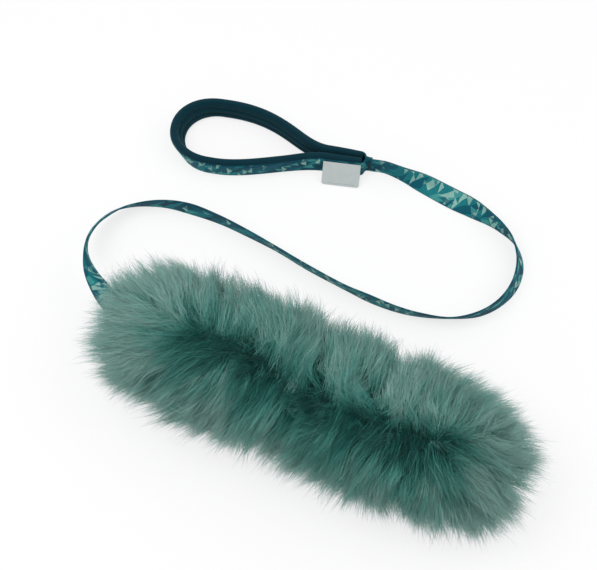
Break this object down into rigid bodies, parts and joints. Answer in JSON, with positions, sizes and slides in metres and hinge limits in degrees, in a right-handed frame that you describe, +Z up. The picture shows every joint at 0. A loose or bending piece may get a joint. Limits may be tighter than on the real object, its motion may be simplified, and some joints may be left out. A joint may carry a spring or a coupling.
{
  "type": "sheepskin tug toy",
  "caption": "Dog tug toy: a long woolly sheepskin body on a printed webbing lead that ends in a padded loop handle with a bare side label",
  "frame": {"origin": "on the flat that the wool stands on, under the middle of the sheepskin body", "axes": "+X runs along the sheepskin body away from the end where the lead comes out, +Z is up, and +Y points from the body to the lead and handle"},
  "size_m": [0.4749, 0.3559, 0.1113],
  "materials": {
    "wool": "dyed sheepskin wool, soft and open",
    "hide": "suede flesh side of the hide",
    "filling": "soft fibre filling",
    "webbing": "smooth woven webbing, printed in blue-green shards",
    "padding": "matt soft fabric over padding",
    "thread": "dark sewing thread",
    "label": "plain woven tape"
  },
  "bodies": {
    "sheepskin": {"wool_pile": "wool", "hide_sleeve": "hide", "seam_thread": "thread", "core_filling": "filling", "core_strap": "webbing", "throat_tack": "thread", "far_tack": "thread", "lead_strap": "webbing"},
    "handle": {"handle_webbing": "webbing", "handle_padding": "padding", "padding_stitch_upper": "thread", "padding_stitch_lower": "thread", "neck_tack": "thread"},
    "label": {"side_label": "label", "label_stitch": "thread"}
  },
  "joints": [
    {"name": "handle_swing", "type": "hinge", "parent": "sheepskin", "child": "handle", "pos_m": [-0.05579, 0.27119, 0.0103], "axis": [0, 0, 1], "range_deg": [-75, 15]},
    {"name": "label_flap", "type": "hinge", "parent": "handle", "child": "label", "pos_m": [-0.08235, 0.25403, 0.0199], "axis": [-0.9567, -0.2911, 0], "range_deg": [0, 120]}
  ]
}
